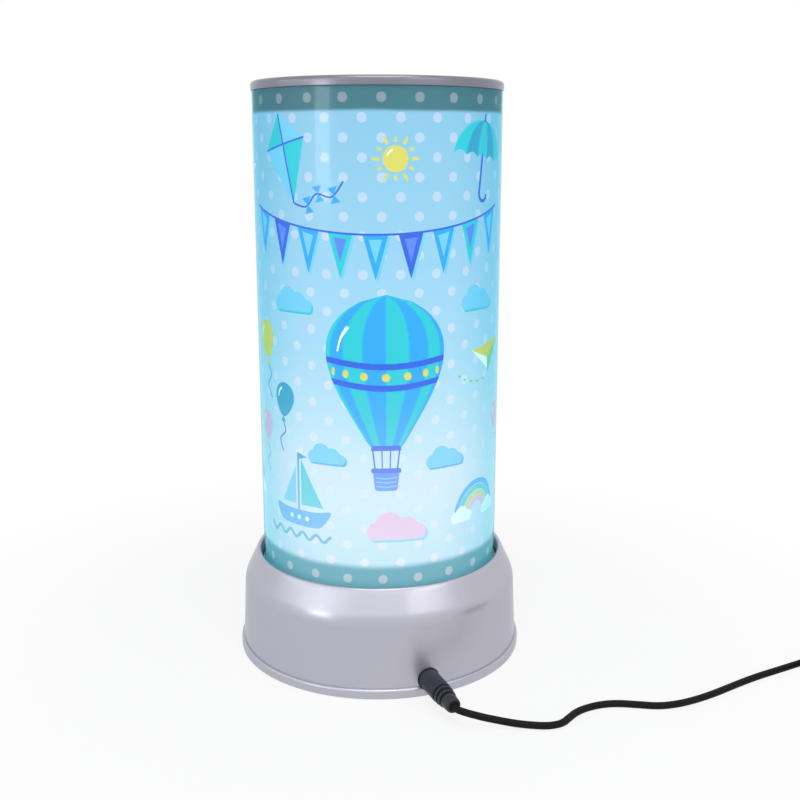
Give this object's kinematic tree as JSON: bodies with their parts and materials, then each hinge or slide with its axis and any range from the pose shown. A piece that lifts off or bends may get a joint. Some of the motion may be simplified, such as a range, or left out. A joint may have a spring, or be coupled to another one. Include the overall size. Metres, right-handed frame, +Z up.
{
  "type": "rotating motion lamp",
  "caption": "Cylindrical night lamp whose printed clear drum turns on a geared turntable over a fixed light, standing on a round base fed by a low-voltage lead.",
  "frame": {"origin": "centre of the base's underside, on the plane that the rubber feet stand on", "axes": "+Z up along the drum's axis, -Y towards the side that the power lead's plug enters, +X to the right seen from there"},
  "size_m": [0.3037, 0.1998, 0.2533],
  "materials": {
    "silver_paint": "moulded shell sprayed with fine silver paint, glossy",
    "cover_plastic": "grained grey plastic",
    "foot_rubber": "matt black rubber",
    "zinc_steel": "zinc-plated screws",
    "pin_steel": "ground steel pins",
    "white_plastic": "white moulded plastic",
    "slip_plastic": "smooth slippery washer",
    "plate_steel": "stamped plate",
    "motor_steel": "drawn can",
    "dark_plastic": "dark moulded plastic",
    "board_green": "circuit board with green mask",
    "board_white": "white-coated aluminium circuit board",
    "capacitor_sleeve": "printed sleeve left plain",
    "chip_black": "moulded chip",
    "header_cream": "wire header",
    "contact_metal": "plated contact",
    "chip_phosphor": "light chip with phosphor",
    "wire_yellow": "insulated wire",
    "wire_red": "insulated wire",
    "wire_black": "insulated wire",
    "table_plastic": "white moulded turntable",
    "clear_plastic": "clear extruded tube",
    "printed_film": null,
    "diffuser_white": "milky light diffuser",
    "gear_plastic": "natural gear plastic",
    "gear_brass": "turned brass",
    "shaft_steel": "ground shaft",
    "switch_black": "glossy black rocker",
    "plug_black": "soft moulded plug",
    "sleeve_metal": "plated barrel",
    "lead_black": "soft black lead jacket",
    "adapter_black": "fine-grained adapter case"
  },
  "bodies": {
    "base": {"base_shell": "silver_paint", "bottom_cover": "cover_plastic", "rubber_feet": "foot_rubber", "cover_screws": "zinc_steel", "spindle_post": "white_plastic", "post_screws": "zinc_steel", "thrust_washer": "slip_plastic", "gear_plate": "plate_steel", "plate_screws": "zinc_steel", "idler_pin": "pin_steel", "output_pin": "pin_steel", "motor_can": "motor_steel", "motor_end": "dark_plastic", "motor_screws": "zinc_steel", "driver_board": "board_green", "board_screws": "zinc_steel", "capacitors": "capacitor_sleeve", "driver_chip": "chip_black", "wire_headers": "header_cream", "power_socket": "dark_plastic", "socket_pin": "contact_metal", "switch_body": "dark_plastic", "switch_terminals": "contact_metal", "led_board": "board_white", "led_chips": "chip_phosphor", "board_clip": "plate_steel", "led_wires": "wire_yellow", "motor_wires": "wire_red", "switch_wires": "wire_black", "plug_grip": "plug_black", "plug_sleeve": "sleeve_metal", "power_lead": "lead_black", "lead_coil": "lead_black", "wall_adapter": "adapter_black", "adapter_pins": "contact_metal"},
    "drum": {"turntable": "table_plastic", "drum_hub": "table_plastic", "ring_gear": "gear_plastic", "clear_tube": "clear_plastic", "print_film": "printed_film", "diffuser": "diffuser_white", "top_cap": "silver_paint"},
    "output_gear_body": {"output_gear": "gear_plastic"},
    "idler_gear_body": {"idler_gear": "gear_plastic"},
    "rotor": {"motor_pinion": "gear_brass", "motor_shaft": "shaft_steel"},
    "rocker": {"switch_rocker": "switch_black"}
  },
  "joints": [
    {"name": "drum_spin", "type": "hinge", "parent": "base", "child": "drum", "pos_m": [0, 0, 0.0335], "axis": [0, 0, 1], "continuous": true},
    {"name": "output_gear_spin", "type": "hinge", "parent": "base", "child": "output_gear_body", "pos_m": [-0.03118, 0.018, 0.027], "axis": [0, 0, 1], "continuous": true},
    {"name": "idler_gear_spin", "type": "hinge", "parent": "base", "child": "idler_gear_body", "pos_m": [-0.02153, 0.02949, 0.021], "axis": [0, 0, 1], "continuous": true},
    {"name": "rotor_spin", "type": "hinge", "parent": "base", "child": "rotor", "pos_m": [-0.00676, 0.02689, 0.02], "axis": [0, 0, 1], "continuous": true},
    {"name": "rocker_tilt", "type": "hinge", "parent": "base", "child": "rocker", "pos_m": [0, 0.06144, 0.021], "axis": [0, 0, 1], "range_deg": [0, 20]}
  ],
  "couplings": [
    {"joint": "output_gear_spin", "follows": "drum_spin", "ratio": -5},
    {"joint": "idler_gear_spin", "follows": "drum_spin", "ratio": 20},
    {"joint": "rotor_spin", "follows": "drum_spin", "ratio": -80}
  ]
}
